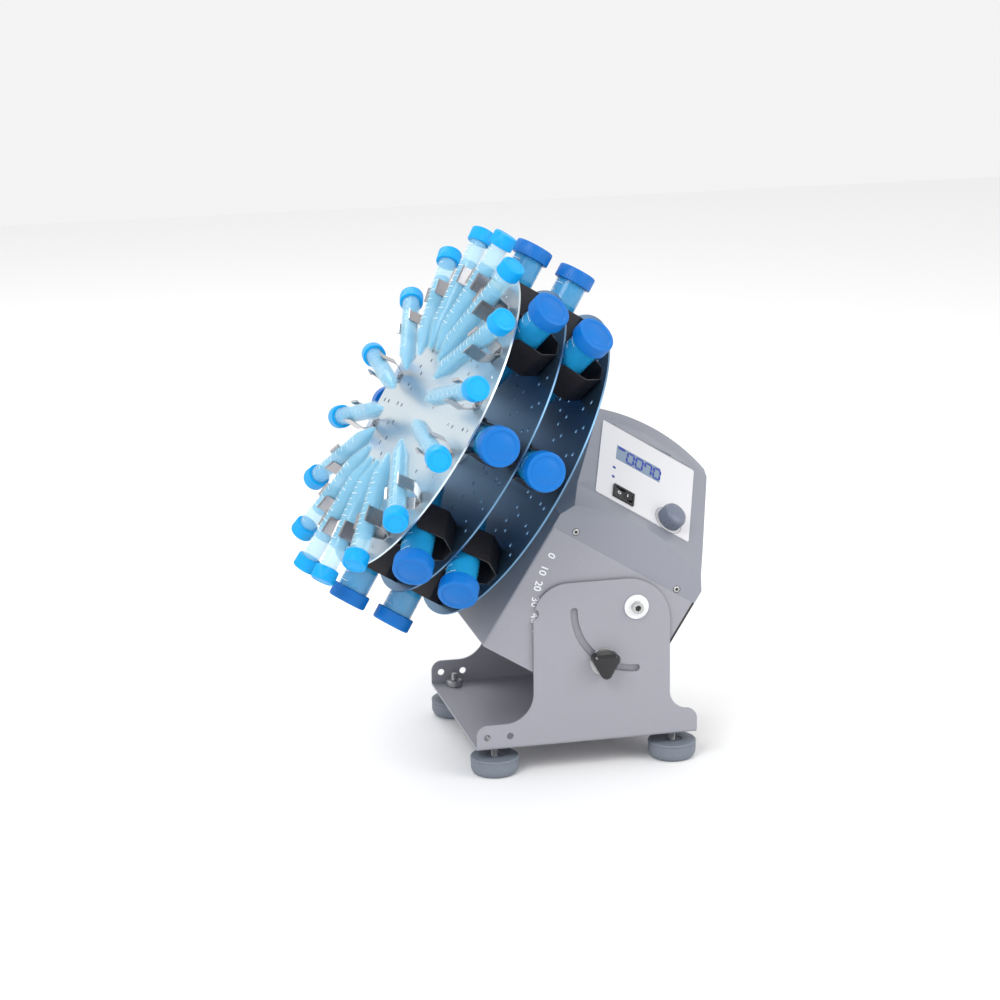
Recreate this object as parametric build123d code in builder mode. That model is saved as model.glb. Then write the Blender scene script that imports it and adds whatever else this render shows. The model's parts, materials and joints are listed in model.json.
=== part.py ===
from build123d import *
import math
import os

# Tilting tube rotator, in millimetres.
# +X points to the rear of the machine, the discs stand at -X, the control panel
# faces -Y, and the feet rest on Z = 0. The functions below count X from the
# middle of the base, and write() moves each piece by MACHINE_X, which puts the
# origin under the middle of the whole machine.
MACHINE_X = 49.2

# Base bracket: one U-shaped sheet of steel
BASE_LENGTH = 200.8
BASE_WIDTH = 192.6
BASE_SHEET = 2.0
BASE_BEND = 3.0
BASE_UNDERSIDE = 25.5
EAR_TOP = 48.4
EAR_ROUND = 9.5
FRONT_EAR = 51.6
REAR_EAR = 25.2
WALL_TOP = 172.9
FRONT_SWEEP = 25.5
REAR_SWEEP = 18.0
FRONT_SHOULDER = 31.0
REAR_SHOULDER = 40.0
NOTCH_RADIUS = 5.0
END_HOLE_RADIUS = 3.1
END_HOLE_INSET = 9.0
END_HOLE_SPACING = 20.8
END_HOLE_HEIGHT = 11.8

# Tilting joint
PIVOT_X = 44.2
PIVOT_DROP = 26.0
TILT = 32.0
TILT_MAX = 90.0
SLOT_SHARE = 0.59494
SLOT_WIDTH = 6.6
BUSH_FLANGE = 11.0
BUSH_FLANGE_THICK = 1.8
BUSH_SLEEVE = 5.5
PIVOT_SHANK = 4.0
PIVOT_HEAD = 5.2
PIVOT_HEAD_HEIGHT = 5.0
PIVOT_SOCKET = 2.9
RUNNING_FIT = 0.05
SEAT_GAP = 0.1

# Clamp knobs
CLAMP_STUD = 3.0
CLAMP_WASHER = 12.5
CLAMP_WASHER_THICK = 1.6
KNOB_LOBE_CENTRE = 8.2
KNOB_LOBE_RADIUS = 5.2
KNOB_HEIGHT = 12.0
KNOB_ROUND = 2.2

# Feet
FOOT_RADIUS = 21.6
FOOT_SOLE = 18.0
FOOT_HEIGHT = 16.0
FOOT_BEVEL = 5.0
FOOT_FROM_END = 18.8
FOOT_FROM_SIDE = 14.9
FOOT_STUD = 3.0
FOOT_STUD_RISE = 6.5
FOOT_COLLAR = 7.0
FOOT_COLLAR_HEIGHT = 6.0

# Head, measured from the pivot along the rotor axis and square to it
SIDE_GAP = 1.2
HEAD_FRONT = 103.8
HEAD_REAR = -47.3
SWING_CLEARANCE = 13.455
HEAD_SPLIT = 26.5
HEAD_SHEET = 1.5
HEAD_BEND = 2.0
REAR_PANEL = 2.0
CHASSIS_TOP = 23.5
CHASSIS_THICK = 2.0

# Cover
COVER_WALL = 3.0
COVER_UPRIGHT = 39.0
COVER_EDGE = 51.5
COVER_ARCH = 64.0
COVER_FRONT_TOP = 96.4
COVER_REAR_TOP = -38.8
RIDGE_FRONT = 84.5
RIDGE_REAR = -37.5
BROW_RISE = 6.6
BROW_END_RISE = 1.0
RIDGE_RISE = 13.8
RIDGE_END_RISE = 4.0
RIDGE_BEHIND = 14.7
ROOF_BACK_RISE = 8.0
ROOF_BACK_END_DROP = 5.0
ROOF_BACK_INSET = 41.1
PANEL_SLOPE = 34.9
PANEL_FOOT = -18.0
PANEL_HEAD = 78.0
BROW_DEPTH = 3.6

# Control panel, measured on the sloping face
LABEL_X = 27.6
LABEL_Y = 29.5
LABEL_WIDTH = 100.6
LABEL_HEIGHT = 92.0
LABEL_THICK = 0.8
LABEL_ROUND = 2.0
LCD_X, LCD_Y = -9.3, 15.5
LCD_WIDTH, LCD_HEIGHT = 47.6, 18.0
LCD_FRAME = 1.5
LED_X = -33.8
LED_Y = (-5.3, -17.0)
LED_RADIUS = 1.6
SWITCH_X, SWITCH_Y = -21.7, -33.6
SWITCH_WIDTH, SWITCH_HEIGHT = 22.0, 15.0
SWITCH_BEZEL = 2.0
SWITCH_BODY_WIDTH, SWITCH_BODY_HEIGHT = 19.4, 13.0
SWITCH_DEPTH = 20.0
ROCKER_HALF_LENGTH = 8.2
ROCKER_HALF_WIDTH = 5.2
ROCKER_TIP = 3.4
ROCKER_DIP = 1.2
ROCKER_THROW = 10.0
ROCKER_PIN = 1.0
ROCKER_PIVOT = -1.0
DIAL_X, DIAL_Y = 27.3, -33.6
DIAL_RADIUS = 11.8
DIAL_HEIGHT = 13.5
DIAL_GAP = 0.8
DIAL_RIBS = 18
DIAL_RIB_DEPTH = 0.5
ENCODER_SHAFT = 3.0
ENCODER_BODY = 16.0
ENCODER_BUSH = 4.5
BOARD_WIDTH, BOARD_HEIGHT = 96.0, 56.0
BOARD_X, BOARD_Y = 2.0, 8.0
BOARD_THICK = 1.6
BOARD_DEPTH = 12.0
STANDOFF_RADIUS = 2.5

# Rotor, measured along its axis from the pivot
AXIS_HEIGHT = 49.0
SHAFT_RADIUS = 6.0
SHAFT_STUB = 14.0
PLATE_RADIUS = 149.9
PLATE_THICK = 1.6
PLATE_AHEAD = 29.3
REAR_PITCH = 45.7
FRONT_PITCH = 47.7
HUB_RADIUS = 27.0
HUB_THICK = 5.0
HUB_BOSS = 16.0
HUB_BOSS_LENGTH = 12.0
SPACER_RADIUS = 24.0
TUBE_ANGLE = 7.6
CLIP_INSET = 23.9

# Tubes: counts, reach of the cap from the axis and height over the plate
LARGE_COUNT = 8
LARGE_OVERHANG = 28.2
LARGE_HEIGHT = 30.6
LARGE_LENGTH = 116.0
LARGE_RADIUS = 13.9
LARGE_TIP = 4.0
LARGE_CONE = 15.0
LARGE_CAP = 17.3
LARGE_CAP_LENGTH = 12.5
SMALL_COUNT = 16
SMALL_OVERHANG = 24.2
SMALL_HEIGHT = 21.7
SMALL_LENGTH = 120.0
SMALL_RADIUS = 8.3
SMALL_TIP = 2.4
SMALL_CONE = 23.0
SMALL_CAP = 10.9
SMALL_CAP_LENGTH = 12.5

# Tubes and caps are drawn with flat sides, to keep the many copies light
TUBE_SIDES = 12
CAP_SIDES = 16

# Clips: bent spring strip, gripping the tube between two leaning sides
CLIP_GRIP = 0.1
LARGE_CLIP_SHEET = 1.0
LARGE_CLIP_LENGTH = 32.0
SMALL_CLIP_SHEET = 0.8
SMALL_CLIP_LENGTH = 16.0
CLIP_LEAN = 5.5

# Drive
BEARING_OUTER = 14.0
BEARING_WIDTH = 8.0
BLOCK_INSET = 11.8
BLOCK_LENGTH = 38.0
BLOCK_HALF = 22.0
BLOCK_TOP = 68.0
MOTOR_RADIUS = 22.0
MOTOR_CLEARANCE = 13.3
GEARBOX_RADIUS = 24.0
GEARBOX_LENGTH = 32.0
GEARBOX_TO_SHAFT = 16.0
BRACKET_THICK = 3.0
BRACKET_HALF = 30.0
BRACKET_FOOT = 12.0
MOTOR_SHAFT = 4.0
COUPLING_RADIUS = 12.0
JACK_RADIUS = 4.6
JACK_BODY = 13.0
JACK_X = 40.0
JACK_HEIGHT = -10.0
JACK_PIN = 1.0
COVER_SCREW_OUT = (83.0, -26.0)
COVER_SCREW_UP = 31.0

lean = math.radians(TILT)
slope = math.radians(PANEL_SLOPE)
pivot_z = WALL_TOP - PIVOT_DROP
pivot = Vector(PIVOT_X, 0, pivot_z)
axis_out = Vector(-math.cos(lean), 0, math.sin(lean))
axis_up = Vector(math.sin(lean), 0, math.cos(lean))
axis_near = Vector(0, -1, 0)
wall_outer = BASE_WIDTH / 2
wall_inner = wall_outer - BASE_SHEET
head_half = wall_inner - SIDE_GAP
wall_front = FRONT_EAR - BASE_LENGTH / 2
wall_rear = BASE_LENGTH / 2 - REAR_EAR
base_top = BASE_UNDERSIDE + BASE_SHEET
head_bottom = -math.sqrt((pivot_z - base_top - SWING_CLEARANCE) ** 2 - HEAD_REAR ** 2)
slot_radius = -SLOT_SHARE * head_bottom
panel_depth = COVER_EDGE * math.cos(slope) + head_half * math.sin(slope)
rear_plate = HEAD_FRONT + PLATE_AHEAD
middle_plate = rear_plate + REAR_PITCH
front_plate = middle_plate + FRONT_PITCH
foot_x = BASE_LENGTH / 2 - FOOT_FROM_END
foot_y = BASE_WIDTH / 2 - FOOT_FROM_SIDE
clip_radius = PLATE_RADIUS - CLIP_INSET
block_front = HEAD_FRONT - BLOCK_INSET
block_rear = block_front - BLOCK_LENGTH
shaft_rear = block_rear - SHAFT_STUB
gearbox_front = shaft_rear - GEARBOX_TO_SHAFT
gearbox_rear = gearbox_front - GEARBOX_LENGTH
motor_rear = HEAD_REAR + REAR_PANEL + MOTOR_CLEARANCE


def point(out, up, y=0.0):
    """A point of the tilted head: along the rotor axis, square to it, and along Y."""
    return pivot + axis_out * out + axis_up * up + Vector(0, y, 0)


def side_plane(y):
    """Upright plane across the machine: x runs along the rotor axis, y square to it."""
    return Plane(origin=point(0, 0, y), x_dir=axis_out, z_dir=(0, 1, 0))


def cross_plane(out, up=0.0):
    """Plane square to the rotor axis: x runs to the near side, y up the head."""
    return Plane(origin=point(out, up), x_dir=axis_near, z_dir=axis_out)


def rotor_plane(out):
    return cross_plane(out, AXIS_HEIGHT)


def on_slope(along):
    """Height and Y of a place on the sloping panel face, by its distance up the slope."""
    up = panel_depth * math.cos(slope) + along * math.sin(slope)
    y = along * math.cos(slope) - panel_depth * math.sin(slope)
    return up, y


def panel_plane(x=0.0, y=0.0, lift=0.0):
    """Plane of the control label, with its own origin at the label's middle."""
    up, across = on_slope(LABEL_Y + y)
    origin = point(LABEL_X - x, up, across)
    normal = axis_up * math.cos(slope) + axis_near * math.sin(slope)
    return Plane(origin=origin + normal * lift, x_dir=-axis_out, z_dir=normal)


def write(piece, name):
    """Export a piece, moved so that the origin lies under the middle of the whole machine."""
    placed = Pos(MACHINE_X, 0, 0) * piece.part
    placed.label = name
    export_step(placed, f"parts/{name}.step")


def add_box(out, up, y, mode=Mode.ADD):
    """A block given by its limits along the rotor axis, square to it, and along Y."""
    with BuildSketch(side_plane(y[0])) as face:
        with Locations(((out[0] + out[1]) / 2, (up[0] + up[1]) / 2)):
            Rectangle(out[1] - out[0], up[1] - up[0])
    extrude(face.sketch, amount=y[1] - y[0], mode=mode)


def add_cross_pin(out, up, radius, y_from, y_to, mode=Mode.ADD):
    """A round pin along Y through one place of the head."""
    with BuildSketch(side_plane(min(y_from, y_to))) as face:
        with Locations((out, up)):
            Circle(radius)
    extrude(face.sketch, amount=abs(y_to - y_from), mode=mode)


def add_nut(out, up, hole, y_from, y_to):
    """A hexagon nut along Y, round a hole for its screw."""
    with BuildSketch(side_plane(min(y_from, y_to))) as face:
        with Locations((out, up)):
            RegularPolygon(2 * hole, 6)
            Circle(hole, mode=Mode.SUBTRACT)
    extrude(face.sketch, amount=abs(y_to - y_from))


def add_rod(plane, radius, start, end, mode=Mode.ADD):
    """A round rod along the normal of a plane."""
    with BuildSketch(plane.offset(start)) as face:
        Circle(radius)
    extrude(face.sketch, amount=end - start, mode=mode)


def wall_outline():
    """Outline of one side wall: two low ears and the tall middle that holds the pivot."""
    end = BASE_LENGTH / 2
    return FilletPolyline(
        (-end, BASE_UNDERSIDE), (-end, EAR_TOP), (wall_front, EAR_TOP), (wall_front, WALL_TOP),
        (wall_rear, WALL_TOP), (wall_rear, EAR_TOP), (end, EAR_TOP), (end, BASE_UNDERSIDE),
        radius=(0, EAR_ROUND, FRONT_SWEEP, FRONT_SHOULDER, REAR_SHOULDER, REAR_SWEEP, EAR_ROUND, 0),
        close=True,
    )


def make_base_bracket():
    with BuildPart() as bracket:
        with BuildSketch(Plane.XZ.offset(-wall_outer)):
            with BuildLine():
                wall_outline()
            make_face()
        extrude(amount=BASE_WIDTH)
        with BuildSketch(Plane.YZ):
            with Locations((0, base_top + BASE_WIDTH / 2)):
                Rectangle(2 * wall_inner, BASE_WIDTH)
        extrude(amount=BASE_LENGTH, both=True, mode=Mode.SUBTRACT)
        fillet(bracket.edges().filter_by(Axis.X).group_by(Axis.Z)[1], BASE_BEND - BASE_SHEET)
        fillet(bracket.edges().filter_by(Axis.X).group_by(Axis.Z)[0], BASE_BEND)
        with Locations((PIVOT_X, 0, pivot_z)):
            Cylinder(BUSH_SLEEVE, 2 * BASE_WIDTH, rotation=(90, 0, 0), mode=Mode.SUBTRACT)
        with Locations((wall_front, 0, pivot_z)):
            Cylinder(NOTCH_RADIUS, 2 * BASE_WIDTH, rotation=(90, 0, 0), mode=Mode.SUBTRACT)
        with BuildSketch(Plane(origin=(PIVOT_X, 0, pivot_z), x_dir=(-1, 0, 0), z_dir=(0, 1, 0))):
            SlotArc(Edge.make_circle(slot_radius, start_angle=-TILT_MAX, end_angle=0), SLOT_WIDTH)
        extrude(amount=BASE_WIDTH, both=True, mode=Mode.SUBTRACT)
        hole_x = END_HOLE_INSET - BASE_LENGTH / 2
        hole_z = BASE_UNDERSIDE + END_HOLE_HEIGHT
        with Locations((hole_x, 0, hole_z), (hole_x + END_HOLE_SPACING, 0, hole_z)):
            Cylinder(END_HOLE_RADIUS, 2 * BASE_WIDTH, rotation=(90, 0, 0), mode=Mode.SUBTRACT)
        with Locations((0, 0, BASE_UNDERSIDE)), GridLocations(2 * foot_x, 2 * foot_y, 2, 2):
            Cylinder(FOOT_STUD + SEAT_GAP, 4 * BASE_SHEET, mode=Mode.SUBTRACT)
    write(bracket, "base_bracket")


def make_feet():
    with BuildPart() as pads:
        with GridLocations(2 * foot_x, 2 * foot_y, 2, 2):
            Cone(FOOT_SOLE, FOOT_RADIUS, FOOT_BEVEL, align=(Align.CENTER, Align.CENTER, Align.MIN))
        with Locations((0, 0, FOOT_BEVEL)), GridLocations(2 * foot_x, 2 * foot_y, 2, 2):
            Cylinder(FOOT_RADIUS, FOOT_HEIGHT - FOOT_BEVEL, align=(Align.CENTER, Align.CENTER, Align.MIN))
        with Locations((0, 0, FOOT_HEIGHT / 2)), GridLocations(2 * foot_x, 2 * foot_y, 2, 2):
            Cylinder(FOOT_STUD, FOOT_HEIGHT, align=(Align.CENTER, Align.CENTER, Align.MIN),
                     mode=Mode.SUBTRACT)
    write(pads, "foot_pads")
    stud_top = base_top + FOOT_COLLAR_HEIGHT + FOOT_STUD_RISE
    with BuildPart() as studs:
        with Locations((0, 0, FOOT_HEIGHT / 2)), GridLocations(2 * foot_x, 2 * foot_y, 2, 2):
            Cylinder(FOOT_STUD, stud_top - FOOT_HEIGHT / 2,
                     align=(Align.CENTER, Align.CENTER, Align.MIN))
        with Locations((0, 0, base_top)), GridLocations(2 * foot_x, 2 * foot_y, 2, 2):
            Cylinder(FOOT_COLLAR, FOOT_COLLAR_HEIGHT, align=(Align.CENTER, Align.CENTER, Align.MIN))
    write(studs, "foot_studs")


def make_pivots():
    outer = wall_outer + BUSH_FLANGE_THICK
    with BuildPart() as bushes:
        for side in (-1, 1):
            add_cross_pin(0, 0, BUSH_FLANGE, side * wall_outer, side * outer)
            add_cross_pin(0, 0, BUSH_SLEEVE, side * wall_inner, side * wall_outer)
            add_cross_pin(0, 0, PIVOT_SHANK + RUNNING_FIT, side * wall_inner, side * outer, Mode.SUBTRACT)
    write(bushes, "pivot_bushes")
    with BuildPart() as washers:
        for side in (-1, 1):
            inner = head_half + SEAT_GAP
            add_cross_pin(0, 0, BUSH_FLANGE, side * inner, side * wall_inner)
            add_cross_pin(0, 0, PIVOT_SHANK + RUNNING_FIT, side * inner, side * wall_inner, Mode.SUBTRACT)
    write(washers, "pivot_washers")
    nut_inner = head_half - HEAD_SHEET - 2 * PIVOT_SHANK
    head_face = outer + SEAT_GAP
    with BuildPart() as screws:
        for side in (-1, 1):
            add_cross_pin(0, 0, PIVOT_SHANK, side * nut_inner, side * head_face)
            add_cross_pin(0, 0, PIVOT_HEAD, side * head_face, side * (head_face + PIVOT_HEAD_HEIGHT))
            socket_floor = head_face + PIVOT_HEAD_HEIGHT / 2
            with BuildSketch(side_plane(side * socket_floor)) as hexagon:
                RegularPolygon(PIVOT_SOCKET, 6)
            extrude(hexagon.sketch, amount=side * PIVOT_HEAD, mode=Mode.SUBTRACT)
    write(screws, "pivot_screws")
    with BuildPart() as nuts:
        for side in (-1, 1):
            add_nut(0, 0, PIVOT_SHANK, side * nut_inner, side * (head_half - HEAD_SHEET))
    write(nuts, "pivot_nuts")


def make_clamps():
    rub = wall_outer + SEAT_GAP
    washer_top = rub + CLAMP_WASHER_THICK
    nut_inner = head_half - HEAD_SHEET - 2 * CLAMP_STUD
    with BuildPart() as washers:
        for side in (-1, 1):
            add_cross_pin(0, -slot_radius, CLAMP_WASHER, side * rub, side * washer_top)
            add_cross_pin(0, -slot_radius, CLAMP_STUD + RUNNING_FIT, side * rub, side * washer_top,
                          Mode.SUBTRACT)
    write(washers, "clamp_washers")
    with BuildPart() as nuts:
        for side in (-1, 1):
            add_nut(0, -slot_radius, CLAMP_STUD + RUNNING_FIT, side * nut_inner,
                    side * (head_half - HEAD_SHEET))
    write(nuts, "clamp_nuts")
    knob_base = washer_top + SEAT_GAP
    for side, place in ((-1, "near"), (1, "far")):
        with BuildPart() as stud:
            add_cross_pin(0, -slot_radius, CLAMP_STUD, side * nut_inner,
                          side * (knob_base + KNOB_HEIGHT / 2))
        write(stud, f"clamp_stud_{place}")
        knob_plane = Plane(origin=point(0, -slot_radius, side * knob_base), x_dir=(1, 0, 0),
                           z_dir=(0, side, 0))
        with BuildPart() as knob:
            with BuildSketch(knob_plane):
                with PolarLocations(KNOB_LOBE_CENTRE, 3, start_angle=side * 90):
                    Circle(KNOB_LOBE_RADIUS)
                make_hull()
            extrude(amount=KNOB_HEIGHT)
            chamfer(knob.faces().sort_by(Axis.Y)[0 if side < 0 else -1].edges(), KNOB_ROUND)
            add_cross_pin(0, -slot_radius, CLAMP_STUD, side * knob_base,
                          side * (knob_base + KNOB_HEIGHT / 2), Mode.SUBTRACT)
        write(knob, f"clamp_knob_{place}")


def make_housing():
    inner = head_half - HEAD_SHEET
    with BuildPart() as housing:
        add_box((HEAD_REAR + REAR_PANEL, HEAD_FRONT), (head_bottom, HEAD_SPLIT), (-head_half, head_half))
        front = housing.faces().sort_by(Axis.X)[0].edges().sort_by(Axis.Z)
        fillet(front[:-1], HEAD_BEND)
        add_box((HEAD_REAR, HEAD_FRONT - HEAD_SHEET), (head_bottom + HEAD_SHEET, HEAD_SPLIT + head_half),
                (-inner, inner), Mode.SUBTRACT)
        for side in (-1, 1):
            add_cross_pin(0, 0, PIVOT_SHANK, side * inner, side * head_half, Mode.SUBTRACT)
            add_cross_pin(0, -slot_radius, CLAMP_STUD + SEAT_GAP, side * inner, side * head_half,
                          Mode.SUBTRACT)
    write(housing, "head_housing")


def make_rear_panel():
    jack_plane = cross_plane(HEAD_REAR + REAR_PANEL, JACK_HEIGHT)
    with BuildPart() as panel:
        add_box((HEAD_REAR, HEAD_REAR + REAR_PANEL), (head_bottom, HEAD_SPLIT), (-head_half, head_half))
        with BuildSketch(cross_plane(HEAD_REAR, JACK_HEIGHT)):
            with Locations((-JACK_X, 0)):
                Circle(JACK_RADIUS + SEAT_GAP)
        extrude(amount=REAR_PANEL, mode=Mode.SUBTRACT)
    write(panel, "rear_panel")
    with BuildPart(jack_plane) as jack:
        with Locations((-JACK_X, 0, JACK_BODY / 2)):
            Box(JACK_BODY, JACK_BODY, JACK_BODY)
        with Locations((-JACK_X, 0, -REAR_PANEL / 2)):
            Cylinder(JACK_RADIUS, REAR_PANEL)
        with Locations((-JACK_X, 0, 0)):
            Cylinder(JACK_RADIUS - 1.5, 2 * (JACK_BODY - 3), mode=Mode.SUBTRACT)
        with Locations((-JACK_X, 0, JACK_BODY - 3)):
            Cylinder(JACK_PIN, JACK_BODY - 2, align=(Align.CENTER, Align.CENTER, Align.MAX))
    write(jack, "power_jack")


def cover_stations():
    """Places across the cover: Y, front and rear top corner, end height, middle height."""
    foot_up, foot_y = on_slope(PANEL_FOOT)
    head_up, head_y = on_slope(PANEL_HEAD)
    return [
        (-head_half, COVER_FRONT_TOP, COVER_REAR_TOP, COVER_EDGE, COVER_ARCH),
        (foot_y, COVER_FRONT_TOP, COVER_REAR_TOP, foot_up, foot_up),
        (head_y, RIDGE_FRONT, RIDGE_REAR, head_up, head_up),
        (head_y + BROW_DEPTH, RIDGE_FRONT, RIDGE_REAR, head_up + BROW_END_RISE, head_up + BROW_RISE),
        (head_y + RIDGE_BEHIND, RIDGE_FRONT, RIDGE_REAR, head_up + RIDGE_END_RISE, head_up + RIDGE_RISE),
        (head_half - ROOF_BACK_INSET, RIDGE_FRONT, RIDGE_REAR, head_up - ROOF_BACK_END_DROP,
         head_up + ROOF_BACK_RISE),
        (head_half, COVER_FRONT_TOP, COVER_REAR_TOP, COVER_EDGE, COVER_ARCH),
    ]


def station_at(stations, y):
    """The cover's outline at any Y, between the two stations beside it."""
    for before, after in zip(stations, stations[1:]):
        if y <= after[0]:
            share = (y - before[0]) / (after[0] - before[0])
            return tuple(a + (b - a) * share for a, b in zip(before, after))
    return stations[-1]


def cover_face(station, inset=0.0, drop=0.0):
    y, front, rear, end, middle = station
    front, rear = front - inset, rear + inset
    with BuildSketch(side_plane(y)) as face:
        with BuildLine():
            Polyline((rear, end - drop), (HEAD_REAR + inset, COVER_UPRIGHT), (HEAD_REAR + inset, HEAD_SPLIT),
                     (HEAD_FRONT - inset, HEAD_SPLIT), (HEAD_FRONT - inset, COVER_UPRIGHT),
                     (front, end - drop))
            if middle > end:
                ThreePointArc((front, end - drop), ((front + rear) / 2, middle - drop), (rear, end - drop))
            else:
                Line((front, end - drop), (rear, end - drop))
        make_face()
    return face.sketch.face()


def make_cover():
    stations = cover_stations()
    drop = COVER_WALL / math.cos(slope)
    inner_y = [station[0] for station in stations]
    inner_y[2:5] = [y + BROW_DEPTH / 2 for y in inner_y[2:5]]
    inner_y[0] += COVER_WALL
    inner_y[-1] -= COVER_WALL
    hollow = [station_at(stations, y) for y in inner_y]
    with BuildPart() as cover:
        for before, after in zip(stations, stations[1:]):
            loft([cover_face(before), cover_face(after)], ruled=True)
        for before, after in zip(hollow, hollow[1:]):
            loft([cover_face(before, COVER_WALL, drop), cover_face(after, COVER_WALL, drop)],
                 ruled=True, mode=Mode.SUBTRACT)
        add_rod(rotor_plane(0), SHAFT_RADIUS + 2, HEAD_FRONT - 4 * COVER_WALL, HEAD_FRONT + 1, Mode.SUBTRACT)
        with BuildSketch(panel_plane()) as windows:
            with Locations((LCD_X, LCD_Y)):
                Rectangle(LCD_WIDTH + 2 * LCD_FRAME, LCD_HEIGHT + 2 * LCD_FRAME)
            with Locations((SWITCH_X, SWITCH_Y)):
                Rectangle(SWITCH_BODY_WIDTH, SWITCH_BODY_HEIGHT)
            with Locations((DIAL_X, DIAL_Y)):
                Circle(ENCODER_BUSH)
            with Locations(*((LED_X, y) for y in LED_Y)):
                Circle(LED_RADIUS)
        extrude(windows.sketch, amount=2 * COVER_WALL, both=True, mode=Mode.SUBTRACT)
    write(cover, "top_cover")


def make_label():
    with BuildPart() as label:
        with BuildSketch(panel_plane()):
            RectangleRounded(LABEL_WIDTH, LABEL_HEIGHT, LABEL_ROUND)
            with Locations((LCD_X, LCD_Y)):
                Rectangle(LCD_WIDTH, LCD_HEIGHT, mode=Mode.SUBTRACT)
            with Locations((SWITCH_X, SWITCH_Y)):
                Rectangle(SWITCH_BODY_WIDTH, SWITCH_BODY_HEIGHT, mode=Mode.SUBTRACT)
            with Locations((DIAL_X, DIAL_Y)):
                Circle(ENCODER_BUSH, mode=Mode.SUBTRACT)
            with Locations(*((LED_X, y) for y in LED_Y)):
                Circle(LED_RADIUS, mode=Mode.SUBTRACT)
        extrude(amount=LABEL_THICK)
    write(label, "panel_label")


def make_board():
    board_top = BOARD_DEPTH - BOARD_THICK
    with BuildPart(panel_plane()) as lcd:
        with Locations((LCD_X, LCD_Y, 0)):
            Box(LCD_WIDTH, LCD_HEIGHT, LABEL_THICK, align=(Align.CENTER, Align.CENTER, Align.MIN))
            Box(LCD_WIDTH + 2 * LCD_FRAME, LCD_HEIGHT + 2 * LCD_FRAME, board_top,
                align=(Align.CENTER, Align.CENTER, Align.MAX))
    write(lcd, "lcd_display")
    with BuildPart(panel_plane()) as leds:
        with Locations(*((LED_X, y, LABEL_THICK) for y in LED_Y)):
            Cylinder(LED_RADIUS, board_top + LABEL_THICK, align=(Align.CENTER, Align.CENTER, Align.MAX))
    write(leds, "indicator_leds")
    with BuildPart(panel_plane()) as board:
        with Locations((BOARD_X, BOARD_Y, -board_top)):
            Box(BOARD_WIDTH, BOARD_HEIGHT, BOARD_THICK, align=(Align.CENTER, Align.CENTER, Align.MAX))
    write(board, "control_board")
    post = (BOARD_WIDTH / 2 - 2 * STANDOFF_RADIUS, BOARD_HEIGHT / 2 - 2 * STANDOFF_RADIUS)
    with BuildPart() as posts:
        with BuildSketch(panel_plane(lift=-COVER_WALL)):
            with Locations((BOARD_X, BOARD_Y)), GridLocations(2 * post[0], 2 * post[1], 2, 2):
                RegularPolygon(STANDOFF_RADIUS, 6)
        extrude(amount=COVER_WALL - board_top)
    write(posts, "board_standoffs")


def make_switch():
    pocket_half = ROCKER_HALF_LENGTH + 0.7
    wall = SWITCH_BODY_HEIGHT / 2
    with BuildPart(panel_plane(SWITCH_X, SWITCH_Y)) as housing:
        with Locations((0, 0, LABEL_THICK)):
            Box(SWITCH_WIDTH, SWITCH_HEIGHT, SWITCH_BEZEL, align=(Align.CENTER, Align.CENTER, Align.MIN))
            Box(SWITCH_BODY_WIDTH, SWITCH_BODY_HEIGHT, SWITCH_DEPTH,
                align=(Align.CENTER, Align.CENTER, Align.MAX))
        with Locations((0, 0, LABEL_THICK + SWITCH_BEZEL)):
            Box(2 * pocket_half, 2 * ROCKER_HALF_WIDTH + 0.4, SWITCH_BEZEL + 7,
                align=(Align.CENTER, Align.CENTER, Align.MAX), mode=Mode.SUBTRACT)
        with Locations((0, 0, ROCKER_PIVOT)):
            Cylinder(ROCKER_PIN + RUNNING_FIT, 2 * wall - 0.6, rotation=(90, 0, 0), mode=Mode.SUBTRACT)
    write(housing, "switch_housing")
    swing = math.radians(-ROCKER_THROW)
    base = panel_plane(SWITCH_X, SWITCH_Y, ROCKER_PIVOT)
    tilted = Plane(origin=base.origin, x_dir=base.x_dir * math.cos(swing) - base.z_dir * math.sin(swing),
                   z_dir=-base.y_dir)
    tip = ROCKER_TIP - ROCKER_PIVOT
    dip = ROCKER_DIP - ROCKER_PIVOT
    with BuildPart() as rocker:
        with BuildSketch(tilted.offset(-ROCKER_HALF_WIDTH)):
            with BuildLine():
                Polyline((-ROCKER_HALF_LENGTH, tip), (0, dip), (ROCKER_HALF_LENGTH, tip),
                         (ROCKER_HALF_LENGTH, 0), (0, -3), (-ROCKER_HALF_LENGTH, 0), close=True)
            make_face()
        extrude(amount=2 * ROCKER_HALF_WIDTH)
        with BuildSketch(tilted.offset(-wall + 0.4)):
            Circle(ROCKER_PIN)
        extrude(amount=2 * wall - 0.8)
    write(rocker, "power_rocker")


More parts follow.
